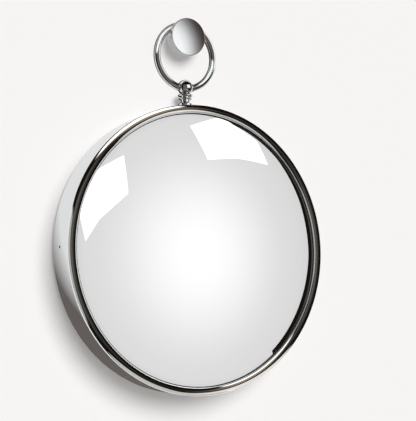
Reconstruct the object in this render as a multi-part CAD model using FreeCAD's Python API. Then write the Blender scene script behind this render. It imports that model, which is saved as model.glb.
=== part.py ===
"""Round convex mirror in a polished drum case, hung like a pocket watch by a ring from a turned wall knob.

Millimetres. X runs to the right, Y into the wall and Z up. The origin is the centre of the knob's foot on
the wall, so the wall is the plane Y = 0. A depth is a distance out from the wall: depth 40 lies at Y = -40.
"""

import FreeCAD, Part
import math
import os

Vector = FreeCAD.Vector

# Bezel and band: the polished shell of the case
BEZEL_R = 152.5
ROLL_R = 4.6
ROLL_OVERHANG = 1.5
LIP_RISE = 0.8
BAND_WALL = 1.2
BAND_DEPTH = 37.0
CURL_R = 3.0
CURL_LIP = 1.5
SKIRT_WALL = 1.6
WALL_GAP = 3.0

# Convex glass and what it is bedded in
GLASS_CURVE_R = 475.0
GLASS_T = 4.0
GLASS_EDGE_GAP = 0.5
GASKET_T = 0.3
GASKET_SHOW = 0.6
CUSHION_T = 3.5
CUSHION_W = 9.0

# Core ring and back
CORE_W = 30.0
COVER_T = 3.0
COVER_RECESS = 1.5
COVER_MARGIN = 4.0
BUMPER_R = 6.0
BUMPER_DRAFT = 0.8
BUMPER_CIRCLE_R = 104.0
BUMPER_COUNT = 4

# Pendant: the turned post between case and ring
FOOT_R = 7.6
FOOT_H = 7.4
FOOT_WAIST = 1.2
FOOT_SETBACK = 1.3
NECK_R = 4.7
CAVETTO_R = 2.6
NECK_STRAIGHT = 2.0
LOWER_BEAD_R = 7.0
LOWER_BEAD_H = 1.8
COVE_H = 1.6
UPPER_BEAD_R = 7.9
UPPER_BEAD_H = 2.2
BEAD_BULGE = 0.9
BALL_R = 8.4
BALL_SINK = 0.7
BALL_FLAT = 1.0
STUD_R = 2.5
STUD_TAIL = 1.0
STUD_BITE = 4.0
NUT_FLATS = 8.0
NUT_T = 2.7
WASHER_R = 5.0
WASHER_T = 1.0

# Hanging ring
RING_R = 34.5
RING_WIRE_R = 3.7
COLLAR_R = 4.2
COLLAR_LENGTH = 2.0
PIVOT_R = 1.8
PIVOT_LENGTH = 4.5

# Wall knob
KNOB_WAIST_R = 9.8
GROOVE_R = 4.2
KNOB_FLARE = 0.6
HEAD_R = 20.5
HEAD_T = 5.0
HEAD_CROWN = 0.8
HEAD_EDGE_ROUND = 0.9
SPIGOT_R = 5.0
SPIGOT_LENGTH = 4.5
FIXING_R = 2.5
FIXING_DEPTH = 8.5

# Screws
BAND_SCREW_R = 1.0
BAND_SCREW_HEAD_R = 1.5
BAND_SCREW_LENGTH = 14.0
BAND_SCREW_COUNT = 6
COVER_SCREW_R = 1.75
COVER_SCREW_HEAD_R = 3.5
COVER_SCREW_LENGTH = 16.0
COVER_SCREW_COUNT = 8
SCREW_RECESS_R = 0.6
SCREW_RECESS_DEPTH = 0.6

# Clearances
SEAT_GAP = 0.05
SLIDE_FIT = 0.1
WOOD_FIT = 0.3
RING_GAP = 0.25
PIVOT_FIT = 0.05
COLLAR_GAP = 0.1
POCKET_GAP = 1.0
HOLE_FIT = 0.1

# Radii of the case that follow from the bezel
BAND_R = BEZEL_R - ROLL_OVERHANG
BAND_INNER_R = BAND_R - BAND_WALL
ROLL_CENTRE_R = BEZEL_R - ROLL_R
LIP_R = ROLL_CENTRE_R - math.sqrt(ROLL_R**2 - LIP_RISE**2)
SKIRT_R = BAND_INNER_R - SLIDE_FIT
REBATE_R = SKIRT_R - SKIRT_WALL
GLASS_R = REBATE_R - GLASS_EDGE_GAP
CORE_R = REBATE_R - WOOD_FIT
CORE_INNER_R = CORE_R - CORE_W
COVER_R = CORE_R - COVER_MARGIN
COVER_SCREW_CIRCLE_R = (CORE_INNER_R + COVER_R) / 2

# Depths of the case, from the front back to the wall
SHOULDER_DEPTH = WALL_GAP + BAND_DEPTH
ROLL_DEPTH = SHOULDER_DEPTH + math.sqrt(ROLL_R**2 - (ROLL_R - ROLL_OVERHANG) ** 2)
LIP_DEPTH = ROLL_DEPTH + LIP_RISE
GLASS_CENTRE_DEPTH = LIP_DEPTH - GASKET_T - math.sqrt(GLASS_CURVE_R**2 - LIP_R**2)
GLASS_APEX_DEPTH = GLASS_CENTRE_DEPTH + GLASS_CURVE_R
COVER_FACE_DEPTH = WALL_GAP + COVER_RECESS
CORE_BACK_DEPTH = COVER_FACE_DEPTH + COVER_T


def glass_depth(radius, behind=0.0):
    """Depth of the glass at a radius: on its front face, or on the sphere that lies a distance behind it."""
    return GLASS_CENTRE_DEPTH + math.sqrt((GLASS_CURVE_R - behind) ** 2 - radius**2)


CORE_FRONT_DEPTH = glass_depth(GLASS_R, GLASS_T) - CUSHION_T
CORE_MID_DEPTH = (CORE_BACK_DEPTH + CORE_FRONT_DEPTH) / 2

# Pendant heights, above the top of the band
PENDANT_DEPTH = WALL_GAP + FOOT_SETBACK + FOOT_R
SKIRT_END_DEPTH = PENDANT_DEPTH + WASHER_R + POCKET_GAP
NECK_H = CAVETTO_R + NECK_STRAIGHT + LOWER_BEAD_H + COVE_H + UPPER_BEAD_H
NECK_TOP_H = FOOT_H + NECK_H
BALL_H = NECK_TOP_H + BALL_R - BALL_SINK
STUD_TOP_H = BALL_H - BALL_R + STUD_BITE
WASHER_TOP_H = math.sqrt(BAND_INNER_R**2 - WASHER_R**2) - BAND_R
NUT_TOP_H = WASHER_TOP_H - WASHER_T
STUD_END_H = NUT_TOP_H - NUT_T - STUD_TAIL

# Where the ring hangs on the knob, and what hangs below it
COLLAR_START = BALL_R - BALL_FLAT + COLLAR_GAP
PIVOT_REACH = COLLAR_START + COLLAR_LENGTH / 2
RING_Z = KNOB_WAIST_R + RING_GAP + RING_WIRE_R - RING_R
PIVOT_Z = RING_Z - math.sqrt(RING_R**2 - PIVOT_REACH**2)
BAND_TOP_Z = PIVOT_Z - BALL_H
MIRROR_Z = BAND_TOP_Z - BAND_R

# Depths of the knob
STEM_DEPTH = PENDANT_DEPTH + GROOVE_R
HEAD_FACE_DEPTH = STEM_DEPTH + HEAD_T

RIGHT = Vector(1, 0, 0)
UP = Vector(0, 0, 1)
OUT = Vector(0, -1, 0)


class Lathe:
    """A turning axis. Profiles are points (radius, height along the axis), spun through a full turn."""

    def __init__(self, base, along):
        self.base = base
        self.along = along

    def point(self, radius, height):
        return self.base + RIGHT * radius + self.along * height

    def turn(self, start, *steps):
        """Spins a closed profile. A step is a point, reached by a line, or (middle, end) of an arc."""
        edges = []
        here = self.point(*start)
        for step in [*steps, start]:
            is_arc = isinstance(step[0], tuple)
            end = self.point(*(step[1] if is_arc else step))
            if is_arc:
                edges.append(Part.Arc(here, self.point(*step[0]), end).toShape())
            elif here.distanceToPoint(end) > 1e-6:
                edges.append(Part.LineSegment(here, end).toShape())
            here = end
        return outward(Part.Face(Part.Wire(edges)).revolve(self.base, self.along, 360))

    def rod(self, radius, low, high):
        """A plain cylinder on the axis between two heights."""
        return Part.makeCylinder(radius, high - low, self.point(0, low), self.along)

    def tube(self, inner, outer, low, high):
        return self.turn((inner, low), (outer, low), (outer, high), (inner, high))


CASE = Lathe(Vector(0, 0, MIRROR_Z), OUT)
KNOB = Lathe(Vector(0, 0, 0), OUT)
PENDANT = Lathe(Vector(0, -PENDANT_DEPTH, BAND_TOP_Z), UP)


def outward(shape):
    """The one solid of a spun shape, turned so that its volume is positive."""
    solid = shape.Solids[0] if shape.Solids else Part.Solid(shape.Shells[0])
    if solid.Volume < 0:
        solid.reverse()
    return solid


def on_circle(count, first_deg):
    """Angles in degrees of a ring of equal places, counted from the right and turning upwards."""
    return [first_deg + 360.0 * n / count for n in range(count)]


def spot(radius, angle_deg, depth):
    """A point of the case at a radius and angle, and the direction outwards there."""
    angle = math.radians(angle_deg)
    outwards = Vector(math.cos(angle), 0, math.sin(angle))
    return Vector(0, -depth, MIRROR_Z) + outwards * radius, outwards


def countersunk(tip, inward, head_r, shank_r, length, extra):
    """A countersunk screw, or its hole when extra is a clearance, from the middle of its head inwards."""
    cone_h = head_r - shank_r
    cone = Part.makeCone(head_r + extra, shank_r + extra, cone_h, tip, inward)
    shank = Part.makeCylinder(shank_r + extra, length - cone_h, tip + inward * cone_h, inward)
    return cone.fuse(shank).removeSplitter()


def recessed(screw, tip, inward):
    """Cuts the driver's round recess into a screw's head."""
    return screw.cut(Part.makeCylinder(SCREW_RECESS_R, SCREW_RECESS_DEPTH, tip, inward))


def band_screw_places():
    """Head centres and inward directions of the small screws round the side of the band."""
    places = []
    for angle in on_circle(BAND_SCREW_COUNT, 0):
        tip, outwards = spot(BAND_R - SEAT_GAP, angle, CORE_MID_DEPTH)
        places.append((tip, outwards * -1))
    return places


def cover_screw_places():
    """Head centres and inward directions of the screws that hold the back cover to the core ring."""
    half_step = 180.0 / COVER_SCREW_COUNT
    places = []
    for angle in on_circle(COVER_SCREW_COUNT, half_step):
        tip, _ = spot(COVER_SCREW_CIRCLE_R, angle, COVER_FACE_DEPTH + SEAT_GAP)
        places.append((tip, OUT))
    return places


def band_screw_holes():
    return [
        countersunk(tip, inward, BAND_SCREW_HEAD_R, BAND_SCREW_R, BAND_SCREW_LENGTH, HOLE_FIT)
        for tip, inward in band_screw_places()
    ]


def cover_screw_holes():
    return [
        countersunk(tip, inward, COVER_SCREW_HEAD_R, COVER_SCREW_R, COVER_SCREW_LENGTH, HOLE_FIT)
        for tip, inward in cover_screw_places()
    ]


def make_band():
    """Rolled band, curled in to a narrow lip at the back, pierced for the side screws and the stud."""
    corner = math.sqrt(0.5)
    inner_curl = CURL_R - BAND_WALL
    curl_centre_r = BAND_R - CURL_R
    curl_depth = WALL_GAP + CURL_R
    lip_r = curl_centre_r - CURL_LIP
    front = SHOULDER_DEPTH - SEAT_GAP
    band = CASE.turn(
        (lip_r, WALL_GAP),
        (curl_centre_r, WALL_GAP),
        ((curl_centre_r + CURL_R * corner, curl_depth - CURL_R * corner), (BAND_R, curl_depth)),
        (BAND_R, front),
        (BAND_INNER_R, front),
        (BAND_INNER_R, curl_depth),
        (
            (curl_centre_r + inner_curl * corner, curl_depth - inner_curl * corner),
            (curl_centre_r, WALL_GAP + BAND_WALL),
        ),
        (lip_r, WALL_GAP + BAND_WALL),
    )
    mouths = [
        Part.makeCylinder(BAND_SCREW_HEAD_R + HOLE_FIT, BAND_WALL, tip, inward * -1)
        for tip, inward in band_screw_places()
    ]
    stud_hole = PENDANT.rod(STUD_R + HOLE_FIT, -2 * BAND_WALL, BAND_WALL)
    return band.cut([*band_screw_holes(), *mouths, stud_hole])


def make_bezel():
    """Half-round roll, rebated behind for the rim of the glass, with a skirt that slides inside the band."""
    bezel = CASE.turn(
        (SKIRT_R, SHOULDER_DEPTH),
        (BAND_R, SHOULDER_DEPTH),
        ((BEZEL_R, ROLL_DEPTH), (ROLL_CENTRE_R, ROLL_DEPTH + ROLL_R)),
        (
            (ROLL_CENTRE_R - ROLL_R * math.sqrt(0.5), ROLL_DEPTH + ROLL_R * math.sqrt(0.5)),
            (LIP_R, LIP_DEPTH),
        ),
        (REBATE_R, LIP_DEPTH),
        (REBATE_R, SKIRT_END_DEPTH),
        (SKIRT_R, SKIRT_END_DEPTH),
    )
    return bezel.cut(band_screw_holes())


def make_glass():
    """Slumped glass of even thickness between two spheres, ground round at its edge."""
    back_curve = GLASS_T
    half_r = GLASS_R / 2
    return CASE.turn(
        (0, GLASS_APEX_DEPTH - GLASS_T),
        ((half_r, glass_depth(half_r, back_curve)), (GLASS_R, glass_depth(GLASS_R, back_curve))),
        (GLASS_R, glass_depth(GLASS_R)),
        ((half_r, glass_depth(half_r)), (0, GLASS_APEX_DEPTH)),
    )


def make_gasket():
    """Wedge-shaped seal between the lip and the sloping front of the glass, with a bead that shows inside the lip."""
    inner = LIP_R - GASKET_SHOW
    outer = GLASS_R
    middle = (inner + outer) / 2
    bead_top = glass_depth(inner) + GASKET_T
    return CASE.turn(
        (inner, bead_top),
        (LIP_R - SEAT_GAP, bead_top),
        (LIP_R - SEAT_GAP, LIP_DEPTH - SEAT_GAP),
        (outer, LIP_DEPTH - SEAT_GAP),
        (outer, glass_depth(outer) + SEAT_GAP),
        ((middle, glass_depth(middle) + SEAT_GAP), (inner, glass_depth(inner) + SEAT_GAP)),
    )


def make_cushion():
    """Felt ring that presses the rim of the glass forwards from the core ring."""
    inner = GLASS_R - CUSHION_W
    middle = GLASS_R - CUSHION_W / 2
    under = GLASS_T + SEAT_GAP
    return CASE.turn(
        (inner, CORE_FRONT_DEPTH),
        (GLASS_R, CORE_FRONT_DEPTH),
        (GLASS_R, glass_depth(GLASS_R, under)),
        ((middle, glass_depth(middle, under)), (inner, glass_depth(inner, under))),
    )


def make_core():
    """Wooden core ring, with a notch at the top of its back for the pendant's nut."""
    core = CASE.tube(CORE_INNER_R, CORE_R, CORE_BACK_DEPTH, CORE_FRONT_DEPTH)
    half_width = WASHER_R + POCKET_GAP
    floor_z = BAND_TOP_Z + STUD_END_H - POCKET_GAP
    notch = Part.makeBox(
        2 * half_width,
        SKIRT_END_DEPTH,
        BAND_TOP_Z - floor_z,
        Vector(-half_width, -SKIRT_END_DEPTH, floor_z),
    )
    return core.cut([notch, *band_screw_holes(), *cover_screw_holes()])


def make_cover():
    """Board that closes the back, set in from the edge of the band."""
    cover = CASE.rod(COVER_R, COVER_FACE_DEPTH, CORE_BACK_DEPTH)
    return cover.cut(cover_screw_holes())


def make_band_screws():
    screws = []
    for tip, inward in band_screw_places():
        screw = countersunk(tip, inward, BAND_SCREW_HEAD_R, BAND_SCREW_R, BAND_SCREW_LENGTH, 0)
        screws.append(recessed(screw, tip, inward))
    return screws


def make_cover_screws():
    screws = []
    for tip, inward in cover_screw_places():
        screw = countersunk(tip, inward, COVER_SCREW_HEAD_R, COVER_SCREW_R, COVER_SCREW_LENGTH, 0)
        screws.append(recessed(screw, tip, inward))
    return screws


def make_bumpers():
    """Tapered pads on the back cover that keep the case off the wall."""
    half_step = 180.0 / BUMPER_COUNT
    pads = []
    for angle in on_circle(BUMPER_COUNT, half_step):
        base, _ = spot(BUMPER_CIRCLE_R, angle, COVER_FACE_DEPTH)
        pads.append(Part.makeCone(BUMPER_R, BUMPER_R - BUMPER_DRAFT, COVER_FACE_DEPTH, base, OUT * -1))
    return pads


def make_foot():
    """Waisted foot of the pendant, hollowed underneath to sit on the round of the band."""
    low = -BAND_WALL
    waist_h = FOOT_H / 2
    foot = PENDANT.turn(
        (STUD_R + SLIDE_FIT, low),
        (FOOT_R, low),
        (FOOT_R, FOOT_H / 4),
        ((FOOT_R - FOOT_WAIST, waist_h), (FOOT_R, FOOT_H * 3 / 4)),
        (FOOT_R, FOOT_H),
        (STUD_R + SLIDE_FIT, FOOT_H),
    )
    saddle = CASE.rod(BAND_R + SEAT_GAP, 0, 2 * SHOULDER_DEPTH)
    return foot.cut(saddle)


def make_neck():
    """Turned neck: a cavetto up from the foot, a lower bead, a cove, and the upper bead that cups the ball."""
    bore = STUD_R + SLIDE_FIT
    quarter = CAVETTO_R * (1 - math.sqrt(0.5))
    cavetto_top = FOOT_H + CAVETTO_R
    lower_low = cavetto_top + NECK_STRAIGHT
    lower_high = lower_low + LOWER_BEAD_H
    upper_low = lower_high + COVE_H
    lower_root = LOWER_BEAD_R - BEAD_BULGE
    upper_root = UPPER_BEAD_R - BEAD_BULGE
    neck = PENDANT.turn(
        (bore, FOOT_H),
        (NECK_R + CAVETTO_R, FOOT_H),
        ((NECK_R + quarter, FOOT_H + quarter), (NECK_R, cavetto_top)),
        (NECK_R, lower_low),
        (lower_root, lower_low),
        ((LOWER_BEAD_R, (lower_low + lower_high) / 2), (lower_root, lower_high)),
        (NECK_R, lower_high),
        (NECK_R, upper_low),
        (upper_root, upper_low),
        ((UPPER_BEAD_R, (upper_low + NECK_TOP_H) / 2), (upper_root, NECK_TOP_H)),
        (bore, NECK_TOP_H),
    )
    cup = Part.makeSphere(BALL_R + SEAT_GAP, PENDANT.point(0, BALL_H))
    return neck.cut(cup)


def make_ball():
    """Ball with two flats and a cross bore for the ring's pivots, tapped from below for the stud."""
    ball = Part.makeSphere(BALL_R, PENDANT.point(0, BALL_H))
    flat_x = BALL_R - BALL_FLAT
    reach = 2 * BALL_R
    slab_corner = PENDANT.point(-flat_x, BALL_H - reach) + OUT * reach
    slab = Part.makeBox(2 * flat_x, 2 * reach, 2 * reach, slab_corner)
    bore = Part.makeCylinder(PIVOT_R + PIVOT_FIT, 2 * reach, PENDANT.point(-reach, BALL_H), RIGHT)
    stud_hole = PENDANT.rod(STUD_R + SEAT_GAP, BALL_H - reach, STUD_TOP_H + SEAT_GAP)
    return ball.common(slab).cut([bore, stud_hole])


def make_stud():
    return PENDANT.rod(STUD_R, STUD_END_H, STUD_TOP_H)


def make_washer():
    return PENDANT.tube(STUD_R + HOLE_FIT, WASHER_R, NUT_TOP_H, WASHER_TOP_H)


def make_nut():
    """Thin hexagon nut on the tail of the stud."""
    corner_r = NUT_FLATS / 2 / math.cos(math.radians(30))
    low = NUT_TOP_H - NUT_T
    corners = []
    for angle in on_circle(6, 0):
        turn = math.radians(angle)
        corners.append(PENDANT.point(corner_r * math.cos(turn), low) + OUT * (corner_r * math.sin(turn)))
    hexagon = Part.Face(Part.makePolygon([*corners, corners[0]]))
    nut = outward(hexagon.extrude(UP * (NUT_T - SEAT_GAP)))
    return nut.cut(PENDANT.rod(STUD_R + SEAT_GAP, low - NUT_T, NUT_TOP_H))


def make_ring():
    """Wire ring left open below, with a collar and a straight pivot on each end for the bore of the ball."""
    centre = Vector(0, -PENDANT_DEPTH, RING_Z)
    half_gap = math.asin(PIVOT_REACH / RING_R)
    start = Vector(PIVOT_REACH, -PENDANT_DEPTH, PIVOT_Z)
    tangent = Vector(math.cos(half_gap), 0, math.sin(half_gap))
    section = Part.Face(Part.Wire(Part.makeCircle(RING_WIRE_R, start, tangent)))
    ring = outward(section.revolve(centre, OUT, 360 - 2 * math.degrees(half_gap)))
    for side in (1, -1):
        root = Vector(side * COLLAR_START, -PENDANT_DEPTH, PIVOT_Z)
        collar = Part.makeCylinder(COLLAR_R, COLLAR_LENGTH, root, RIGHT * side)
        pivot = Part.makeCylinder(PIVOT_R, PIVOT_LENGTH, root, RIGHT * -side)
        ring = ring.fuse([collar, pivot])
    return ring.removeSplitter()


def make_knob_stem():
    """Short post with a round groove for the ring, tapped behind for a wall stud and bored in front."""
    land_r = KNOB_WAIST_R + GROOVE_R
    stem = KNOB.turn(
        (0, FIXING_DEPTH),
        (FIXING_R, FIXING_DEPTH),
        (FIXING_R, 0),
        (land_r + KNOB_FLARE, 0),
        (land_r, PENDANT_DEPTH - GROOVE_R),
        ((KNOB_WAIST_R, PENDANT_DEPTH), (land_r, STEM_DEPTH)),
        (SPIGOT_R + SEAT_GAP, STEM_DEPTH),
        (SPIGOT_R + SEAT_GAP, STEM_DEPTH - SPIGOT_LENGTH - SEAT_GAP),
        (0, STEM_DEPTH - SPIGOT_LENGTH - SEAT_GAP),
    )
    return stem


def make_knob_head():
    """Round head with a softly crowned face and a spigot that screws into the stem."""
    edge = HEAD_EDGE_ROUND
    corner = edge * (1 - math.sqrt(0.5))
    rim_depth = HEAD_FACE_DEPTH - HEAD_CROWN
    crown_r = HEAD_R - edge
    crown_curve = (crown_r**2 + HEAD_CROWN**2) / (2 * HEAD_CROWN)
    crown_mid = HEAD_FACE_DEPTH - crown_curve + math.sqrt(crown_curve**2 - (crown_r / 2) ** 2)
    back = STEM_DEPTH + SEAT_GAP
    return KNOB.turn(
        (0, STEM_DEPTH - SPIGOT_LENGTH),
        (SPIGOT_R, STEM_DEPTH - SPIGOT_LENGTH),
        (SPIGOT_R, back),
        (HEAD_R - edge, back),
        ((HEAD_R - corner, back + corner), (HEAD_R, back + edge)),
        (HEAD_R, rim_depth - edge),
        ((HEAD_R - corner, rim_depth - corner), (crown_r, rim_depth)),
        ((crown_r / 2, crown_mid), (0, HEAD_FACE_DEPTH)),
    )


PIECES = {
    "case_band": make_band,
    "bezel": make_bezel,
    "mirror_glass": make_glass,
    "bezel_gasket": make_gasket,
    "glass_cushion": make_cushion,
    "core_ring": make_core,
    "back_cover": make_cover,
    "band_screws": make_band_screws,
    "cover_screws": make_cover_screws,
    "wall_bumpers": make_bumpers,
    "pendant_foot": make_foot,
    "pendant_neck": make_neck,
    "pendant_ball": make_ball,
    "pendant_stud": make_stud,
    "pendant_washer": make_washer,
    "pendant_nut": make_nut,
    "hanging_ring": make_ring,
    "knob_stem": make_knob_stem,
    "knob_head": make_knob_head,
}


def main():
    os.makedirs("parts", exist_ok=True)
    for name, make in PIECES.items():
        made = make()
        shape = Part.makeCompound(made) if isinstance(made, list) else made
        shape.exportStep(f"parts/{name}.step")
        print(f"{name}: {len(shape.Solids)} solids, {shape.Volume:.1f} mm3, valid {shape.isValid()}")


main()
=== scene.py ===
"""Dresses a round convex mirror: polished shell, silvered glass, turned pendant, ring, wall knob, screws and back.

Lengths are metres in the part's frame: X to the right, Y into the wall, Z up, with the wall at Y = 0.
A depth is a distance out from the wall, so depth 0.04 lies at Y = -0.04.
"""

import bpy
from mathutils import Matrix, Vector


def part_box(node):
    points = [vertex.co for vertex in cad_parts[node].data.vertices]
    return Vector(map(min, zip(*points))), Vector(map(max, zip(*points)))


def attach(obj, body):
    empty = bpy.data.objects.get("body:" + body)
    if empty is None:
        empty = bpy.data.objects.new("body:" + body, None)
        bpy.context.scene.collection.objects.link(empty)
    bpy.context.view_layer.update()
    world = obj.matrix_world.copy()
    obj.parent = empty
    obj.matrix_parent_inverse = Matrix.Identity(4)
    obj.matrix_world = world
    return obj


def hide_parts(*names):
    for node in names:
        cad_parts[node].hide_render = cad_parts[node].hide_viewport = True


bl_info = {
    "name": "Convex Mirror",
    "version": (1, 0, 0),
    "blender": (4, 5, 0),
    "location": "View3D > Sidebar > Mirror",
    "description": "Builds a round convex mirror that hangs by a ring from a turned wall knob",
    "category": "Object",
}

import math
from collections import namedtuple

import bpy
import numpy as np
from mathutils import Quaternion, Vector

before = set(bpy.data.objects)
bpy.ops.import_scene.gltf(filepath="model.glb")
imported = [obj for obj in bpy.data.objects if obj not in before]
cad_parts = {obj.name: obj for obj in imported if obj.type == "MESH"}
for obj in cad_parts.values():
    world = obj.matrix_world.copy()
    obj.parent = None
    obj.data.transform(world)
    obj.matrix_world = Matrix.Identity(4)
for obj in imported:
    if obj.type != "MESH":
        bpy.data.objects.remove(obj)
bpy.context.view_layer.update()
MM = 0.001

Axis = namedtuple("Axis", "base along right")
Shell = namedtuple("Shell", "points faces corners")
Screw = namedtuple("Screw", "head shank length recess recess_depth")
Card = namedtuple("Card", "name tint strength softness pieces corners")
Glow = namedtuple("Glow", "name pieces middle levels limits")
Wall = namedtuple("Wall", "name pieces height radius softness shade")


def half_width(node):
    low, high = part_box(node)
    return (high.x - low.x) / 2


def depths(node):
    """Depths of a node's back and front, measured out from the wall."""
    low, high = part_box(node)
    return -high.y, -low.y


def heights(node):
    low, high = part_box(node)
    return low.z, high.z


# What the frame gives: the main sizes of the pieces that are built anew
MIRROR_Z = sum(heights("bezel")) / 2
BEZEL_R = half_width("bezel")
SKIRT_END, BEZEL_FRONT = depths("bezel")
BAND_R = half_width("case_band")
BAND_BACK, BAND_FRONT = depths("case_band")
GLASS_R = half_width("mirror_glass")
GLASS_APEX = depths("mirror_glass")[1]
COVER_R = half_width("back_cover")
COVER_FACE, COVER_INSIDE = depths("back_cover")
CORE_DEPTH = sum(depths("core_ring")) / 2
CORE_WIDTH = 30.0 * MM
COVER_SCREW_R = (COVER_R + half_width("core_ring") - CORE_WIDTH) / 2
PENDANT_DEPTH = sum(depths("pendant_neck")) / 2
FOOT_R = half_width("pendant_foot")
NECK_LOW, NECK_TOP = heights("pendant_neck")
UPPER_BEAD_R = half_width("pendant_neck")
BALL_FLAT_X = half_width("pendant_ball")
BALL_BACK, BALL_FRONT = depths("pendant_ball")
BALL_R = (BALL_FRONT - BALL_BACK) / 2
BALL_Z = heights("pendant_ball")[1] - BALL_R
RING_OUTER_R = half_width("hanging_ring")
RING_BACK, RING_FRONT = depths("hanging_ring")
COLLAR_R = (RING_FRONT - RING_BACK) / 2
RING_Z = heights("hanging_ring")[1] - RING_OUTER_R
STEM_FOOT_R = half_width("knob_stem")
STEM_FRONT = depths("knob_stem")[1]
HEAD_R = half_width("knob_head")
SPIGOT_END, HEAD_FACE = depths("knob_head")
BUMPER_FACE, BUMPER_BASE = depths("wall_bumpers")

CASE_AXIS = Axis((0, 0, MIRROR_Z), (0, -1, 0), (1, 0, 0))
KNOB_AXIS = Axis((0, 0, 0), (0, -1, 0), (1, 0, 0))
PENDANT_AXIS = Axis((0, -PENDANT_DEPTH, 0), (0, 0, 1), (1, 0, 0))
BALL_AXIS = Axis((0, -PENDANT_DEPTH, BALL_Z), (1, 0, 0), (0, 0, 1))

# Points round a turned piece: enough for a clean mirror edge on the large rings, fewer on the small turned parts
WIDE_STEPS = 720
GLASS_STEPS = 360
SMALL_STEPS = 192
SCREW_STEPS = 48
# Points along the ring's pivot, bend and bow, sections along its wire, and points round the wire
PIVOT_STEPS, BEND_STEPS, BOW_STEPS = 60, 200, 2000
WIRE_STEPS, WIRE_ROUND = 420, 48
# A fold sharper than this keeps its edge in the shading
SHARP_FOLD = math.radians(40)
# A profile's corner sharper than this is rounded off, by so many points over at most this share of each side
SHARP_CORNER = math.radians(25)
CORNER_POINTS = 7
CORNER_SHARE = 0.45
# Points across a countersink, and how far they reach, in head radii
HOLE_STEPS = 27
HOLE_REACH = 1.25
# A share that ends just past an edge, and a length too small to tell from none
JUST_PAST = 1.02
TOUCH = 1e-6
# Soft edge of a screw, and how often a cover screw's cross turns on the way round the case
SCREW_EDGE = 0.12 * MM
SCREW_TWIST = 5
# Sizes of the patterns in the finishes, in millimetres: length and spacing of the buffing hairlines, then patches
HAIRLINE_MM, HAIRLINE_GAP_MM = 40, 0.35
HAZE_MM = 14
DUST_MM = 30
PATCH_MM = 40
# How far the gloss of a grained finish goes up and down with its grain
GLOSS_SPREAD = 0.1


def length(name, description, millimetres):
    """A length property, with its default given in millimetres."""
    return bpy.props.FloatProperty(
        name=name, description=description, default=millimetres * MM, min=0, precision=5, unit="LENGTH"
    )


def turn(name, description, degrees):
    return bpy.props.FloatProperty(
        name=name, description=description, default=math.radians(degrees), subtype="ANGLE"
    )


def to_linear(hex_colour):
    """Linear red, green and blue of an sRGB colour written as #rrggbb."""
    parts = [int(hex_colour[i : i + 2], 16) / 255 for i in (1, 3, 5)]
    return [c / 12.92 if c <= 0.04045 else ((c + 0.055) / 1.055) ** 2.4 for c in parts]


def colour(name, description, hex_colour):
    return bpy.props.FloatVectorProperty(
        name=name, description=description, default=to_linear(hex_colour), min=0, max=1, subtype="COLOR"
    )


class CaseSettings(bpy.types.PropertyGroup):
    """Sizes of the shell and the glass that the frame's boxes don't give."""

    roll_radius: length("Roll radius", "Radius of the bezel's half-round roll", 4.6)
    lip_rise: length("Lip rise", "How far the lip's edge lies in front of the middle of the roll", 0.8)
    gasket_show: length("Gasket show", "How far the gasket shows inside the lip", 0.6)
    gasket_bead: length("Gasket bead", "Height of the gasket's bead over the glass", 0.3)
    seat_gap: length("Seat gap", "Gap between the gasket and what it seats on", 0.02)
    skirt_wall: length("Skirt wall", "Thickness of the bezel's skirt inside the band", 1.6)
    skirt_gap: length("Skirt gap", "Gap between the skirt and the band", 0.1)
    band_wall: length("Band wall", "Thickness of the band's sheet", 1.2)
    curl_radius: length("Curl radius", "Outer radius of the band's curled back edge", 3.0)
    curl_lip: length("Curl lip", "Flat lip inside the curl", 1.5)
    glass_curve: length("Glass curve", "Radius of the sphere that the glass is part of", 475.0)
    glass_thickness: length("Glass thickness", "Thickness of the slumped glass", 4.0)
    soft_edge: length("Soft edge", "How far a polished corner is rounded off", 0.3)


class PendantSettings(bpy.types.PropertyGroup):
    """Sizes of the turned post, the ball and the ring."""

    bore: length("Bore", "Radius of the bore for the stud", 2.6)
    foot_waist: length("Foot waist", "How deep the foot is waisted", 1.2)
    neck_radius: length("Neck radius", "Radius of the plain part of the neck", 4.7)
    cavetto: length("Cavetto", "Radius of the hollow up from the foot", 2.6)
    neck_straight: length("Neck straight", "Height of the plain part of the neck", 2.0)
    lower_bead: length("Lower bead", "Radius of the lower bead", 7.0)
    lower_bead_height: length("Lower bead height", "Height of the lower bead", 1.8)
    cove: length("Cove", "Height of the cove between the beads", 1.6)
    bead_bulge: length("Bead bulge", "How far a bead swells out from its edges", 0.9)
    seat_land: length("Seat land", "Width of the flat land round the ball's seat", 0.2)
    wire_radius: length("Wire radius", "Radius of the ring's wire", 3.7)
    collar_gap: length("Collar gap", "Gap between the ball's flat and the ring's collar", 0.1)
    collar_length: length("Collar length", "Length of each collar on the ring", 2.0)
    pivot_radius: length("Pivot radius", "Radius of the ring's pivots", 1.8)
    pivot_length: length("Pivot length", "Length of the ring's pivots", 4.5)
    pivot_fit: length("Pivot fit", "Clearance of the pivots in the ball", 0.05)
    ring_bend: length("Ring bend", "Distance from the middle at which the wire joins its circle", 12.5)


class KnobSettings(bpy.types.PropertyGroup):
    """Sizes of the wall knob."""

    waist_radius: length("Waist radius", "Radius at the bottom of the ring's groove", 9.8)
    groove_radius: length("Groove radius", "Radius of the groove's round", 4.2)
    fixing_radius: length("Fixing radius", "Radius of the tapped hole for the wall stud", 2.5)
    fixing_depth: length("Fixing depth", "Depth of the tapped hole", 8.5)
    spigot_radius: length("Spigot radius", "Radius of the head's spigot", 5.0)
    seat_gap: length("Seat gap", "Gap round the spigot", 0.05)
    crown: length("Crown", "How far the face of the head swells", 0.8)
    edge_round: length("Edge round", "Rounding of the head's front and back edges", 0.9)


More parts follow.
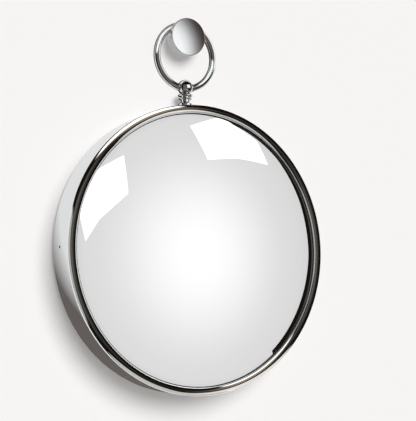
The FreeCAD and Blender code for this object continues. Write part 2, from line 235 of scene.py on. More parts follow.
class ScrewSettings(bpy.types.PropertyGroup):
    """Sizes of the side screws, the cover screws and the bumpers."""

    band_count: bpy.props.IntProperty(name="Side screws", description="Screws round the band", default=6, min=1)
    band_head: length("Side screw head", "Head radius of a side screw", 1.5)
    band_shank: length("Side screw shank", "Shank radius of a side screw", 1.0)
    band_length: length("Side screw length", "Length of a side screw", 14.0)
    socket: length("Socket", "Half of the width across the flats of a side screw's socket", 0.6)
    socket_depth: length("Socket depth", "Depth of a side screw's socket", 0.6)
    cover_count: bpy.props.IntProperty(name="Cover screws", description="Screws in the back", default=8, min=1)
    cover_head: length("Cover screw head", "Head radius of a cover screw", 3.5)
    cover_shank: length("Cover screw shank", "Shank radius of a cover screw", 1.75)
    cover_length: length("Cover screw length", "Length of a cover screw", 16.0)
    cross_arm: length("Cross arm", "Length of each arm of the driver's cross", 2.0)
    cross_width: length("Cross width", "Width of each arm of the driver's cross", 0.8)
    cross_depth: length("Cross depth", "Depth of the driver's cross", 1.2)
    hole_fit: length("Hole fit", "Clearance between a screw and its countersink", 0.1)
    seat: length("Seat", "How far a head lies below the surface", 0.05)
    bumper_count: bpy.props.IntProperty(name="Bumpers", description="Pads on the back", default=4, min=1)
    bumper_radius: length("Bumper radius", "Radius of a bumper's base", 6.0)
    bumper_draft: length("Bumper draft", "How much narrower a bumper is at its face", 0.8)
    bumper_round: length("Bumper round", "How far a bumper's corners are rounded off", 0.8)
    dish_radius: length("Dish radius", "Radius of the floor of the dish in a bumper's face", 1.8)
    dish_rim: length("Dish rim", "Radius of the dish's rim", 2.34)
    dish_depth: length("Dish depth", "Depth of the dish", 0.5)


class FinishSettings(bpy.types.PropertyGroup):
    """Colours of the finishes."""

    nickel: colour("Nickel", "Polished nickel plate", "#E2E4E6")
    silver: colour("Silver", "Silvered glass", "#F8F8F8")
    rubber: colour("Rubber", "Black rubber", "#1B1B1C")
    felt: colour("Felt", "Grey wool felt", "#6E6C69")
    core: colour("Core", "Fibreboard of the core ring", "#A98A62")
    cover: colour("Cover", "Dark hardboard of the back cover", "#4A3526")
    zinc: colour("Zinc", "Zinc plate on the hidden steel", "#B9BCC0")
    black_steel: colour("Black steel", "Blackened steel of the side screws", "#4A4541")
    wall: colour("Wall", "Painted wall behind the mirror", "#F7F5F4")


class StageSettings(bpy.types.PropertyGroup):
    """Camera and light."""

    camera_distance: length("Camera distance", "Distance from the middle of the bezel", 1397.0)
    camera_azimuth: turn("Camera azimuth", "Turn of the camera's place to the mirror's right", -30.276)
    camera_elevation: turn("Camera elevation", "Height of the camera's place", -3.206)
    look_azimuth: turn("Look azimuth", "Turn of the line that the camera looks back along", -30.6)
    look_elevation: turn("Look elevation", "Height of the line that the camera looks back along", -4.876)
    camera_roll: turn("Camera roll", "Turn of the camera about its line of sight", -0.3)
    lens: length("Lens", "Focal length of the camera", 114.05)
    ambient: bpy.props.FloatProperty(name="Ambient", description="Even light from all round", default=0.15)
    fill: bpy.props.FloatProperty(name="Fill", description="Strength of the shadowless fill light", default=0.7)
    key: bpy.props.FloatProperty(name="Key", description="Strength of the key light", default=2.1)
    key_azimuth: turn("Key azimuth", "Side that the key light comes from", 5.0)
    key_elevation: turn("Key elevation", "Height that the key light comes from", 21.0)
    key_softness: turn("Key softness", "Angle that the key light fills", 36.0)


def full_turn(steps):
    return np.arange(steps) * (2 * math.pi / steps)


def half_step_turn(steps):
    """A full turn that starts half a step on."""
    return math.pi / steps + full_turn(steps)


def pairs(across, along):
    """Points (radius, height), from two runs of numbers, or from one run and a number that stays the same."""
    return np.stack(np.broadcast_arrays(across, along), axis=1)


def arc(centre, radius, start, end, steps):
    """Points of a circle round a centre (radius, height), from one angle to another in degrees."""
    angle = np.radians(np.linspace(start, end, steps))
    return np.array(centre) + radius * pairs(np.cos(angle), np.sin(angle))


def bow(start, middle, end, steps):
    """Points of the circle through three points: its centre is equally far from all of them."""
    a, b, c = (np.array(p, float) for p in (start, middle, end))
    normals = 2 * np.stack([b - a, c - a])
    centre = np.linalg.solve(normals, np.array([b @ b - a @ a, c @ c - a @ a]))
    angle = np.unwrap([math.atan2(*(p - centre)[::-1]) for p in (a, b, c)])
    sweep = np.linspace(angle[0], angle[2], steps)
    return centre + np.linalg.norm(a - centre) * pairs(np.cos(sweep), np.sin(sweep))


def outline(*parts):
    """One profile, joined from single points (radius, height) and runs of points."""
    return np.vstack([np.atleast_2d(part) for part in parts])


def soften(profile, reach, closed):
    """Rounds a profile's corners: each sharp turn becomes a quadratic curve that begins and ends `reach` from it."""
    before = np.roll(profile, 1, axis=0) - profile
    after = np.roll(profile, -1, axis=0) - profile
    near = np.linalg.norm(before, axis=1)
    far = np.linalg.norm(after, axis=1)
    straightness = -(before * after).sum(axis=1) / (near * far)
    sharp = straightness < math.cos(SHARP_CORNER)
    if not closed:
        sharp[[0, -1]] = False
    t = np.linspace(0, 1, CORNER_POINTS)[:, None]
    parts = []
    for i, corner in enumerate(profile):
        if not sharp[i]:
            parts.append(corner)
            continue
        start = corner + before[i] * min(reach / near[i], CORNER_SHARE)
        end = corner + after[i] * min(reach / far[i], CORNER_SHARE)
        parts.append((1 - t) ** 2 * start + 2 * t * (1 - t) * corner + t**2 * end)
    return outline(*parts)


def spin(axis, profile, angles, shape=None):
    """Turns a profile (radius, height) round an axis: point (i, j) is base + height i along the axis + radius i
    in the direction of angle j. `shape` may first change radius and height, given all three as grids."""
    radius, height, angle = np.broadcast_arrays(profile[:, :1], profile[:, 1:], angles[None, :])
    if shape:
        radius, height = shape(radius, height, angle)
    along, right = np.array(axis.along, float), np.array(axis.right, float)
    side = np.cross(along, right)
    outward = np.cos(angle)[..., None] * right + np.sin(angle)[..., None] * side
    return np.array(axis.base) + height[..., None] * along + radius[..., None] * outward


def quads_of(field):
    """The four corners of each cell of a grid, in order round it."""
    return np.stack([field[:-1, :-1], field[:-1, 1:], field[1:, 1:], field[1:, :-1]], axis=2)


def skin(grid, poles):
    """Closes a grid of points into a shell. Columns join up round the axis. Rows join up as well, or, with poles,
    the first and last row are single points. Corners hold metres round and along the surface."""
    rows, columns = grid.shape[:2]
    if poles:
        points = np.vstack([grid[:1, 0], grid[1:-1].reshape(-1, 3), grid[-1:, 0]])
        inner = 1 + np.arange((rows - 2) * columns).reshape(rows - 2, columns)
        index = np.vstack([np.zeros((1, columns), int), inner, np.full((1, columns), len(points) - 1)])
        lines = grid
    else:
        points = grid.reshape(-1, 3)
        index = np.arange(rows * columns).reshape(rows, columns)
        index = np.vstack([index, index[:1]])
        lines = np.concatenate([grid, grid[:1]])
    index = np.hstack([index, index[:, :1]])
    girth = np.linalg.norm(np.diff(lines, axis=1), axis=2).sum(axis=1).max()
    along = np.linalg.norm(np.diff(lines[:, 0], axis=0), axis=1).cumsum()
    place = np.stack(np.meshgrid(np.linspace(0, girth, columns + 1), [0, *along]), axis=-1)
    quads, places = quads_of(index), quads_of(place)
    a, b, c, d = (points[quads[..., k]] for k in range(4))
    volume = (np.cross(a, b) * c).sum() + (np.cross(a, c) * d).sum()
    if volume < 0:
        quads, places = quads[..., ::-1], places[..., ::-1, :]
    if not poles:
        return Shell(points, quads.reshape(-1, 4).tolist(), places.reshape(-1, 2))
    first, last = ([0, 2, 3], [0, 1, 2]) if volume >= 0 else ([0, 1, 3], [1, 2, 3])
    faces = quads[1:-1].reshape(-1, 4).tolist() + quads[0][:, first].tolist() + quads[-1][:, last].tolist()
    corners = [places[1:-1], places[0][:, first], places[-1][:, last]]
    return Shell(points, faces, np.vstack([part.reshape(-1, 2) for part in corners]))


def lathe(axis, profile, reach, angles, shape=None, poles=False):
    """A turned shell: a profile with its corners softened, spun round an axis. With poles, the profile starts and
    ends on the axis; otherwise it joins up."""
    return skin(spin(axis, soften(profile, reach, closed=not poles), angles, shape), poles)


def joined(shells):
    """Several shells as one, each with its own points."""
    faces = []
    start = 0
    for shell in shells:
        faces += [[start + corner for corner in face] for face in shell.faces]
        start += len(shell.points)
    return Shell(np.vstack([s.points for s in shells]), faces, np.vstack([s.corners for s in shells]))


def add_object(name, data):
    made = bpy.data.objects.new(name, data)
    bpy.context.scene.collection.objects.link(made)
    return made


def add_mesh(name, points, faces, material):
    mesh = bpy.data.meshes.new(name)
    mesh.from_pydata(points, [], faces)
    mesh.materials.append(material)
    return add_object(name, mesh)


def add_piece(name, shell, body, slot, *nodes):
    """Makes a mesh of a shell in its slot's material, shades it by its larger faces, and sets it on its body in
    place of its nodes."""
    piece = add_mesh(name, shell.points.tolist(), shell.faces, material_for(slot))
    mesh = piece.data
    mesh.uv_layers.new(name="surface").data.foreach_set("uv", shell.corners.ravel().astype(np.float32))
    mesh.shade_smooth()
    mesh.set_sharp_from_angle(angle=SHARP_FOLD)
    if mesh.validate():
        raise RuntimeError(f"{name} has a faulty face")
    piece.modifiers.new("even shading", "WEIGHTED_NORMAL").keep_sharp = True
    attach(piece, body)
    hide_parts(*nodes)


def add_node(tree, kind, inputs=None, **settings):
    """Adds a shader node, sets its settings, and links or sets its inputs by name or number."""
    node = tree.nodes.new(kind)
    for name, value in settings.items():
        setattr(node, name, value)
    for name, value in (inputs or {}).items():
        if isinstance(value, bpy.types.NodeSocket):
            tree.links.new(value, node.inputs[name])
        else:
            node.inputs[name].default_value = value
    return node


def per(millimetres):
    """Texture scale at which one feature of a pattern on metre coordinates is this long."""
    return 1 / (millimetres * MM)


def rgba(value):
    return (*value, 1.0)


def new_material(name):
    """A material with no nodes yet, and its tree."""
    material = bpy.data.materials.new(name)
    material.use_nodes = True
    material.node_tree.nodes.clear()
    return material, material.node_tree


def noise(tree, vector, scale, detail, roughness=0.5):
    inputs = {"Vector": vector, "Scale": scale, "Detail": detail, "Roughness": roughness}
    return add_node(tree, "ShaderNodeTexNoise", inputs).outputs[0]


def ranged(tree, value, source=(0, 1), target=(0, 1)):
    """A value carried over from one range to another."""
    ends = zip(("From Min", "From Max", "To Min", "To Max"), (*source, *target))
    return add_node(tree, "ShaderNodeMapRange", {"Value": value, **dict(ends)}).outputs[0]


def mixed(tree, share, low, high):
    """A colour between two, by share."""
    inputs = {0: share, "A": rgba(low), "B": rgba(high)}
    return add_node(tree, "ShaderNodeMix", inputs, data_type="RGBA").outputs["Result"]


def relief(tree, height, strength, millimetres):
    inputs = {"Height": height, "Strength": strength, "Distance": millimetres * MM}
    return add_node(tree, "ShaderNodeBump", inputs).outputs[0]


# A coat adds its patterns to a material's tree and gives the inputs of the shader
def nickel_plate(tree, finish):
    """Buffed nickel plate on brass: a clean bright mirror, with hairlines left by the buffing wheel round each
    turned part and a faint uneven haze from handling."""
    place = add_node(tree, "ShaderNodeTexCoord").outputs
    lines = {"Vector": place["UV"], "Scale": (per(HAIRLINE_MM), per(HAIRLINE_GAP_MM), 1)}
    hairlines = noise(tree, add_node(tree, "ShaderNodeMapping", lines).outputs[0], 1.0, 4.0)
    haze = noise(tree, place["Object"], per(HAZE_MM), 3.0, 0.6)
    both = add_node(tree, "ShaderNodeMath", {0: hairlines, 1: haze}, operation="MULTIPLY")
    return {
        "Base Color": rgba(finish.nickel),
        "Metallic": 1.0,
        "Roughness": ranged(tree, both.outputs[0], (0.1, 0.5), (0.02, 0.09)),
        "Normal": relief(tree, hairlines, 0.015, 0.05),
    }


def silvered_glass(tree, finish):
    """Slumped float glass silvered behind: a bright mirror with painted shade that makes it a trace greyer towards
    its ground rim, and the lightest film of dust."""
    place = add_node(tree, "ShaderNodeTexCoord").outputs["Object"]
    film = noise(tree, place, per(DUST_MM), 5.0, 0.65)
    centred = add_node(tree, "ShaderNodeMapping", {"Vector": place, "Location": (0, 0, -MIRROR_Z)})
    shares = {0: centred.outputs[0], 1: (1 / GLASS_R, 0, 1 / GLASS_R)}
    flat = add_node(tree, "ShaderNodeVectorMath", shares, operation="MULTIPLY")
    reach = add_node(tree, "ShaderNodeVectorMath", {0: flat.outputs[0]}, operation="LENGTH")
    # Painted shade: over the outer rim of the glass the silver is mixed towards a tenth darker
    rim = ranged(tree, reach.outputs["Value"], (0.93, 1.0))
    painted_rim_shade = [c * 0.9 for c in finish.silver]
    return {
        "Base Color": mixed(tree, rim, finish.silver, painted_rim_shade),
        "Metallic": 1.0,
        "Roughness": ranged(tree, film, (0.4, 0.75), (0.004, 0.014)),
    }


def grained(base, grain_mm, contrast, roughness, relief_mm, stretch=(1, 1, 1), metallic=0.0):
    """A coat whose colour, gloss and relief follow one fine grain on Object coordinates: fibres, rubber or plate,
    by the size and stretch of the grain."""

    def coat(tree, finish):
        place = add_node(tree, "ShaderNodeTexCoord").outputs["Object"]
        drawn = add_node(tree, "ShaderNodeMapping", {"Vector": place, "Scale": stretch})
        grain = noise(tree, drawn.outputs[0], per(grain_mm), 6.0, 0.7)
        patches = noise(tree, place, per(PATCH_MM), 3.0)
        both = add_node(tree, "ShaderNodeMath", {0: grain, 1: patches}, operation="ADD")
        middle = getattr(finish, base)
        dark, light = ([min(1, c * share) for c in middle] for share in (1 - contrast, 1 + contrast))
        return {
            "Base Color": mixed(tree, ranged(tree, both.outputs[0], (0.7, 1.3)), dark, light),
            "Metallic": metallic,
            "Roughness": ranged(tree, grain, target=(roughness - GLOSS_SPREAD, roughness + GLOSS_SPREAD)),
            "Normal": relief(tree, grain, 0.5, relief_mm),
        }

    return coat


# The material and its coat for each slot
MATERIALS = {
    "polished_nickel": ("polished nickel plate", nickel_plate),
    "mirror_silver": ("silvered glass", silvered_glass),
    # Dull, with a fine grain and a grey bloom
    "black_rubber": ("moulded black rubber", grained("rubber", 0.8, 0.35, 0.62, 0.06)),
    # Soft flecks of lighter and darker fibre
    "grey_felt": ("pressed wool felt", grained("felt", 1.2, 0.3, 0.85, 0.3)),
    # Even brown with short pressed fibres
    "core_board": ("raw fibreboard", grained("core", 1.5, 0.25, 0.8, 0.12, stretch=(1, 2.5, 1))),
    # Oil-tempered, smooth side out: dark brown, mottled, with a slight sheen
    "cover_board": ("tempered hardboard", grained("cover", 1.8, 0.35, 0.48, 0.05)),
    # A grey metal with a fine spangle
    "zinc_steel": ("zinc plated steel", grained("zinc", 1.0, 0.12, 0.32, 0.02, metallic=1.0)),
    # A dark brown-grey metal with a soft sheen, which makes the small screws read as dots
    "blackened_screw": ("blackened steel", grained("black_steel", 0.8, 0.2, 0.5, 0.01, metallic=1.0)),
}


def material_for(slot):
    """The material of a slot, made the first time that it is asked for."""
    name, coat = MATERIALS[slot]
    if name not in bpy.data.materials:
        tree = new_material(name)[1]
        shader = add_node(tree, "ShaderNodeBsdfPrincipled", coat(tree, bpy.context.scene.mirror_finish))
        add_node(tree, "ShaderNodeOutputMaterial", {"Surface": shader.outputs["BSDF"]})
    return bpy.data.materials[name]


def countersink(distance, head, shank, fit):
    """Depth of a countersunk hole at a distance from its middle: a cone of 45 degrees, then a flat floor."""
    return np.clip(head + fit - distance, 0, head - shank)


def apart(angle, centres):
    """Angle from each of an array of angles to the nearest of the centres."""
    off = (angle[..., None] - np.asarray(centres) + math.pi) % (2 * math.pi) - math.pi
    return np.abs(off).min(axis=-1)


def crowded(steps, centres, half_span, radius):
    """Angles of a full turn, with extra ones close round each centre, for a hole that is drawn there."""
    reach = np.linspace(-half_span, half_span, HOLE_STEPS) / radius
    close = (np.asarray(centres)[:, None] + reach).ravel() % (2 * math.pi)
    base = full_turn(steps)
    return np.sort(np.concatenate([base[apart(base, centres) > half_span / radius * JUST_PAST], close]))


def on_case(radius, angle, depth):
    """Point at a radius and an angle round the middle of the case."""
    return np.array([radius * math.cos(angle), -depth, MIRROR_Z + radius * math.sin(angle)])


def glass_depth(case, radii, behind=0.0):
    """Depth of the glass's front at these radii, or of the sphere of the same centre that lies `behind` it."""
    return GLASS_APEX - case.glass_curve + np.sqrt((case.glass_curve - behind) ** 2 - radii**2)


class MIRROR_OT_make_band(bpy.types.Operator):
    """Band: a rolled sheet, curled in at the back, with countersinks for the side screws"""

    bl_idname = "mirror.make_band"
    bl_label = "Make band"

    def execute(self, context):
        case, screws = context.scene.mirror_case, context.scene.mirror_screws
        curl = (BAND_R - case.curl_radius, BAND_BACK + case.curl_radius)
        lip_r = curl[0] - case.curl_lip
        reach = HOLE_REACH * screws.band_head
        profile = outline(
            (lip_r, BAND_BACK),
            arc(curl, case.curl_radius, -90, 0, steps=24),
            pairs(BAND_R, np.linspace(CORE_DEPTH - reach, CORE_DEPTH + reach, HOLE_STEPS)),
            (BAND_R, BAND_FRONT),
            (BAND_R - case.band_wall, BAND_FRONT),
            arc(curl, case.curl_radius - case.band_wall, 0, -90, steps=16),
            (lip_r, BAND_BACK + case.band_wall),
        )
        places = full_turn(screws.band_count)

        def sink(radius, height, angle):
            distance = np.hypot(apart(angle, places) * BAND_R, height - CORE_DEPTH)
            hole = countersink(distance, screws.band_head, screws.band_shank, screws.hole_fit)
            return np.where(radius > BAND_R - TOUCH, radius - hole, radius), height

        angles = crowded(WIDE_STEPS, places, reach, BAND_R)
        shell = lathe(CASE_AXIS, profile, case.soft_edge, angles, sink)
        add_piece("band", shell, "mirror", "polished_nickel", "case_band")
        return {"FINISHED"}


class MIRROR_OT_make_bezel(bpy.types.Operator):
    """Bezel: a half-round roll, rebated behind for the glass, with a skirt inside the band"""

    bl_idname = "mirror.make_bezel"
    bl_label = "Make bezel"

    def execute(self, context):
        case = context.scene.mirror_case
        roll_r, roll_depth = BEZEL_R - case.roll_radius, BEZEL_FRONT - case.roll_radius
        overhang = case.roll_radius - (BEZEL_R - BAND_R)
        shoulder_turn = -math.degrees(math.acos(overhang / case.roll_radius))
        lip_turn = 180 - math.degrees(math.asin(case.lip_rise / case.roll_radius))
        skirt_r = BAND_R - case.band_wall - case.skirt_gap
        rebate_r = skirt_r - case.skirt_wall
        profile = outline(
            (skirt_r, roll_depth - math.sqrt(case.roll_radius**2 - overhang**2)),
            arc((roll_r, roll_depth), case.roll_radius, shoulder_turn, lip_turn, steps=80),
            (rebate_r, roll_depth + case.lip_rise),
            (rebate_r, SKIRT_END),
            (skirt_r, SKIRT_END),
        )
        shell = lathe(CASE_AXIS, profile, case.soft_edge, full_turn(WIDE_STEPS))
        add_piece("bezel_roll", shell, "mirror", "polished_nickel", "bezel")
        return {"FINISHED"}


class MIRROR_OT_make_glass(bpy.types.Operator):
    """Glass: two spheres of one centre, joined at a ground rim"""

    bl_idname = "mirror.make_glass"
    bl_label = "Make glass"

    def execute(self, context):
        case = context.scene.mirror_case
        out = np.linspace(0, GLASS_R, num=100)
        back, front = out[::4], out[::-1]
        profile = outline(
            pairs(back, glass_depth(case, back, case.glass_thickness)),
            pairs(front, glass_depth(case, front)),
        )
        shell = lathe(CASE_AXIS, profile, 2 * case.soft_edge, full_turn(GLASS_STEPS), poles=True)
        add_piece("glass", shell, "mirror", "mirror_silver", "mirror_glass")
        return {"FINISHED"}


class MIRROR_OT_make_gasket(bpy.types.Operator):
    """Gasket: a wedge between the lip and the sloping front of the glass, with a bead that shows inside the lip"""

    bl_idname = "mirror.make_gasket"
    bl_label = "Make gasket"

    def execute(self, context):
        case = context.scene.mirror_case
        lip_r = BEZEL_R - case.roll_radius - math.sqrt(case.roll_radius**2 - case.lip_rise**2)
        edge = lip_r - case.seat_gap
        top = BEZEL_FRONT - case.roll_radius + case.lip_rise - case.seat_gap
        across = np.linspace(lip_r - case.gasket_show, GLASS_R, num=24)
        seat = glass_depth(case, across) + case.seat_gap
        bead = seat[0] + case.gasket_bead
        profile = outline(pairs(across, seat), (GLASS_R, top), (edge, top), (edge, bead), (across[0], bead))
        shell = lathe(CASE_AXIS, profile, case.soft_edge, full_turn(WIDE_STEPS))
        add_piece("gasket", shell, "mirror", "black_rubber", "bezel_gasket")
        return {"FINISHED"}


class MIRROR_OT_make_pendant(bpy.types.Operator):
    """Pendant: the waisted foot, the turned neck with its two beads, and the cross-bored ball"""

    bl_idname = "mirror.make_pendant"
    bl_label = "Make pendant"

    def execute(self, context):
        case, pendant = context.scene.mirror_case, context.scene.mirror_pendant
        angles = full_turn(SMALL_STEPS)
        band_top = MIRROR_Z + BAND_R
        quarter = (NECK_LOW - band_top) / 4
        waist = (FOOT_R - pendant.foot_waist, band_top + 2 * quarter)
        foot = outline(
            (pendant.bore, band_top),
            (FOOT_R, band_top),
            bow((FOOT_R, band_top + quarter), waist, (FOOT_R, band_top + 3 * quarter), steps=32),
            (FOOT_R, NECK_LOW),
            (pendant.bore, NECK_LOW),
        )

        def saddle(radius, height, angle):
            """The underside drops with the round of the band, by the radius less its height at that distance."""
            drop = BAND_R - np.sqrt(BAND_R**2 - (radius * np.cos(angle)) ** 2)
            return radius, height - drop * np.clip((band_top + quarter - height) / quarter, 0, 1)

        shell = lathe(PENDANT_AXIS, foot, case.soft_edge, angles, saddle)
        add_piece("foot", shell, "mirror", "polished_nickel", "pendant_foot")

        def bead(radius, low, high):
            """A bead swells out from its edges to its radius half-way up."""
            root = radius - pendant.bead_bulge
            return bow((root, low), (radius, (low + high) / 2), (root, high), steps=24)

        lower_low = NECK_LOW + pendant.cavetto + pendant.neck_straight
        lower_high = lower_low + pendant.lower_bead_height
        upper_low = lower_high + pendant.cove
        hollow = (pendant.neck_radius + pendant.cavetto, NECK_LOW + pendant.cavetto)
        seat_r = np.linspace(UPPER_BEAD_R - pendant.bead_bulge - pendant.seat_land, pendant.bore, num=12)
        cup = BALL_Z - np.sqrt((BALL_R + pendant.pivot_fit) ** 2 - seat_r**2)
        neck = outline(
            (pendant.bore, NECK_LOW),
            arc(hollow, pendant.cavetto, -90, -180, steps=24),
            (pendant.neck_radius, lower_low),
            bead(pendant.lower_bead, lower_low, lower_high),
            (pendant.neck_radius, lower_high),
            (pendant.neck_radius, upper_low),
            bead(UPPER_BEAD_R, upper_low, NECK_TOP),
            pairs(seat_r, np.minimum(cup, NECK_TOP)),
        )
        shell = lathe(PENDANT_AXIS, neck, case.soft_edge / 2, angles)
        add_piece("neck", shell, "mirror", "polished_nickel", "pendant_neck")

        bore = pendant.pivot_radius + pendant.pivot_fit
        rim = math.degrees(math.asin(BALL_FLAT_X / BALL_R))
        ball = outline((bore, BALL_FLAT_X), arc((0, 0), BALL_R, rim, -rim, steps=96), (bore, -BALL_FLAT_X))
        shell = lathe(BALL_AXIS, ball, case.soft_edge, angles)
        add_piece("ball", shell, "mirror", "polished_nickel", "pendant_ball")
        return {"FINISHED"}


class MIRROR_OT_make_ring(bpy.types.Operator):
    """Ring: a round wire carried round a circle, with a collar and a pivot at each end"""

    bl_idname = "mirror.make_ring"
    bl_label = "Make ring"

    def execute(self, context):
        case, pendant = context.scene.mirror_case, context.scene.mirror_pendant
        circle_r = RING_OUTER_R - pendant.wire_radius
        root = BALL_FLAT_X + pendant.collar_gap
        leave = math.asin(pendant.ring_bend / circle_r)
        start = np.array([root, BALL_Z])
        end = np.array([circle_r * math.sin(leave), RING_Z - circle_r * math.cos(leave)])
        span = np.linalg.norm(end - start)
        t = np.linspace(0, 1, BEND_STEPS)[:, None]
        bend = (
            (2 * t**3 - 3 * t**2 + 1) * start
            + (t**3 - 2 * t**2 + t) * span * np.array([1, 0])
            + (3 * t**2 - 2 * t**3) * end
            + (t**3 - t**2) * span * np.array([math.cos(leave), math.sin(leave)])
        )
        swing = np.linspace(leave, math.pi, BOW_STEPS)[1:]
        round_part = pairs(circle_r * np.sin(swing), RING_Z - circle_r * np.cos(swing))
        straight = pairs(np.linspace(root - pendant.pivot_length, root, PIVOT_STEPS), BALL_Z)
        half = np.vstack([straight[:-1], bend, round_part])
        line = np.vstack([half, (half * [-1, 1])[-2::-1]])
        run = np.concatenate([[0], np.linalg.norm(np.diff(line, axis=0), axis=1).cumsum()])
        course = np.gradient(line, run, axis=0)

        collar = pendant.pivot_length + pendant.collar_length
        end_half = outline(
            (0, 0),
            (pendant.pivot_radius, 0),
            (pendant.pivot_radius, pendant.pivot_length),
            (COLLAR_R, pendant.pivot_length),
            (COLLAR_R, collar),
            (pendant.wire_radius, collar),
        )
        wire = pairs(pendant.wire_radius, np.linspace(collar, run[-1] - collar, WIRE_STEPS)[1:-1])
        profile = outline(end_half, wire, (end_half * [1, -1] + [0, run[-1]])[::-1])
        radius, at = soften(profile, 1.5 * case.soft_edge, closed=False).T
        middle = np.stack([np.interp(at, run, line[:, k]) for k in (0, 1)], axis=1)
        forward = np.stack([np.interp(at, run, course[:, k]) for k in (0, 1)], axis=1)
        forward /= np.linalg.norm(forward, axis=1, keepdims=True)
        around = full_turn(WIRE_ROUND)
        across = radius[:, None] * np.cos(around)
        out = radius[:, None] * np.sin(around)
        x = middle[:, :1] - forward[:, 1:] * across
        z = middle[:, 1:] + forward[:, :1] * across
        shell = skin(np.stack([x, -PENDANT_DEPTH - out, z], axis=-1), poles=True)
        add_piece("ring_bow", shell, "ring", "polished_nickel", "hanging_ring")
        return {"FINISHED"}


class MIRROR_OT_make_knob(bpy.types.Operator):
    """Knob: a post with a round groove for the ring, and a round head with a crowned face"""

    bl_idname = "mirror.make_knob"
    bl_label = "Make knob"

    def execute(self, context):
        case, knob = context.scene.mirror_case, context.scene.mirror_knob
        angles = full_turn(SMALL_STEPS)
        groove = (knob.waist_radius + knob.groove_radius, PENDANT_DEPTH)
        socket = knob.spigot_radius + knob.seat_gap
        stem = outline(
            (0, knob.fixing_depth),
            (knob.fixing_radius, knob.fixing_depth),
            (knob.fixing_radius, 0),
            (STEM_FOOT_R, 0),
            arc(groove, knob.groove_radius, 270, 90, steps=40),
            (socket, STEM_FRONT),
            (socket, SPIGOT_END - knob.seat_gap),
            (0, SPIGOT_END - knob.seat_gap),
        )
        shell = lathe(KNOB_AXIS, stem, case.soft_edge, angles, poles=True)
        add_piece("stem", shell, "wall_knob", "polished_nickel", "knob_stem")

        edge = knob.edge_round
        crown_edge = HEAD_R - edge
        crown_curve = (crown_edge**2 + knob.crown**2) / (2 * knob.crown)
        across = np.linspace(crown_edge, 0, num=40)[1:]
        head = outline(
            (0, SPIGOT_END),
            (knob.spigot_radius, SPIGOT_END),
            (knob.spigot_radius, STEM_FRONT),
            arc((crown_edge, STEM_FRONT + edge), edge, -90, 0, steps=16),
            arc((crown_edge, HEAD_FACE - knob.crown - edge), edge, 0, 90, steps=16),
            pairs(across, HEAD_FACE - crown_curve + np.sqrt(crown_curve**2 - across**2)),
        )
        shell = lathe(KNOB_AXIS, head, case.soft_edge, angles, poles=True)
        add_piece("head", shell, "wall_knob", "polished_nickel", "knob_head")
        return {"FINISHED"}


def screw_shell(axis, screw, drive):
    """A countersunk screw along an axis. Its recess follows `drive`, a radius for each angle as a share of the
    recess's reach."""
    profile = outline(
        (0, screw.recess_depth),
        (screw.recess, screw.recess_depth),
        (screw.recess, 0),
        (screw.head, 0),
        (screw.shank, screw.head - screw.shank),
        (screw.shank, screw.length - screw.shank),
        (0, screw.length),
    )

    def recessed(radius, height, angle):
        return np.where(radius < screw.recess * JUST_PAST, radius * drive(angle), radius), height

    return lathe(axis, profile, SCREW_EDGE, full_turn(SCREW_STEPS), recessed, poles=True)


class MIRROR_OT_make_screws(bpy.types.Operator):
    """Screws: small socket screws round the band, and cross-head wood screws in the back"""

    bl_idname = "mirror.make_screws"
    bl_label = "Make screws"

    def execute(self, context):
        screws = context.scene.mirror_screws
        side = Screw(
            screws.band_head, screws.band_shank, screws.band_length, screws.socket, screws.socket_depth
        )
        back = Screw(
            screws.cover_head, screws.cover_shank, screws.cover_length, screws.cross_arm, screws.cross_depth
        )

        def hexagon(angle):
            """Radius of a hexagon: its half width over the cosine of the turn from the middle of a flat."""
            return 1 / np.cos((angle + math.pi / 6) % (math.pi / 3) - math.pi / 6)

        def cross(angle):
            """Radius of a cross: the arm's length, or half its width over the sine of the turn from the arm."""
            off = np.abs((angle + math.pi / 4) % (math.pi / 2) - math.pi / 4)
            return np.minimum(1, screws.cross_width / 2 / np.maximum(np.sin(off), TOUCH) / screws.cross_arm)

        shells = []
        for angle in full_turn(screws.band_count):
            inward = (-math.cos(angle), 0, -math.sin(angle))
            axis = Axis(on_case(BAND_R - screws.seat, angle, CORE_DEPTH), inward, (0, 1, 0))
            shells.append(screw_shell(axis, side, hexagon))
        add_piece("side_screws", joined(shells), "mirror", "blackened_screw", "band_screws")

        shells = []
        for angle in half_step_turn(screws.cover_count):
            twist = SCREW_TWIST * angle
            tip = on_case(COVER_SCREW_R, angle, COVER_FACE + screws.seat)
            axis = Axis(tip, (0, -1, 0), (math.cos(twist), 0, math.sin(twist)))
            shells.append(screw_shell(axis, back, cross))
        add_piece("back_screws", joined(shells), "mirror", "zinc_steel", "cover_screws")
        return {"FINISHED"}


